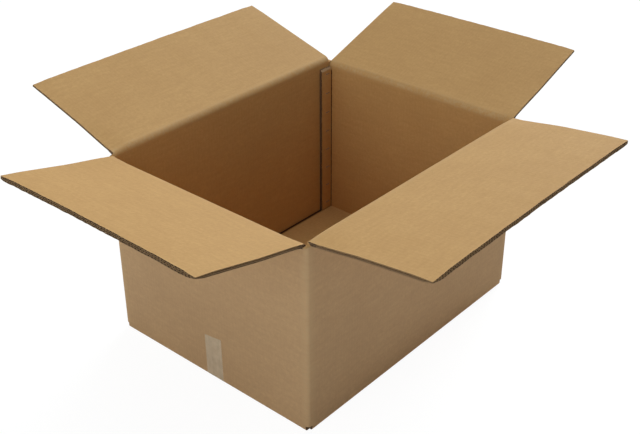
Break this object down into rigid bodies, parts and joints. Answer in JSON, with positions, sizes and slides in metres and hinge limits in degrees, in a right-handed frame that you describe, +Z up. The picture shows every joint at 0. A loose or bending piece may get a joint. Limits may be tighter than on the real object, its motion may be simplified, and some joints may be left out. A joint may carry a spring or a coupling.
{
  "type": "open cardboard box",
  "caption": "Open slotted carton of thick corrugated board, its hinged top flaps folded out and its bottom flaps closed and taped.",
  "frame": {"origin": "middle of the underside, on the face that the box stands on", "axes": "+X along the box's length, from the short wall with the tape end in the picture to the other; +Y along its width, towards the wall with the joint tab; +Z up out of the open top"},
  "size_m": [1.2582, 1.1077, 0.5383],
  "materials": {
    "board": "matte brown kraft liner, fluting shows as fine lines along the flutes",
    "tape": "translucent packing tape, pale and a little duller than clear film",
    "wire": "dull galvanised flat stitching wire"
  },
  "bodies": {
    "box": {"box_body": "board", "bottom_tape": "tape", "joint_stitches": "wire"},
    "front": {"front_flap": "board"},
    "back": {"back_flap": "board"},
    "left": {"left_flap": "board"},
    "right": {"right_flap": "board"}
  },
  "joints": [
    {"name": "front_fold", "type": "hinge", "parent": "box", "child": "front", "pos_m": [0, -0.28025, 0.452], "axis": [-1, 0, 0], "range_deg": [-51.1, 173.9]},
    {"name": "back_fold", "type": "hinge", "parent": "box", "child": "back", "pos_m": [0, 0.28025, 0.452], "axis": [1, 0, 0], "range_deg": [-61.7, 163.3]},
    {"name": "left_fold", "type": "hinge", "parent": "box", "child": "left", "pos_m": [-0.36025, 0, 0.441], "axis": [0, 1, 0], "range_deg": [-58.8, 166.2]},
    {"name": "right_fold", "type": "hinge", "parent": "box", "child": "right", "pos_m": [0.36025, 0, 0.441], "axis": [0, -1, 0], "range_deg": [-64.3, 160.7]}
  ]
}
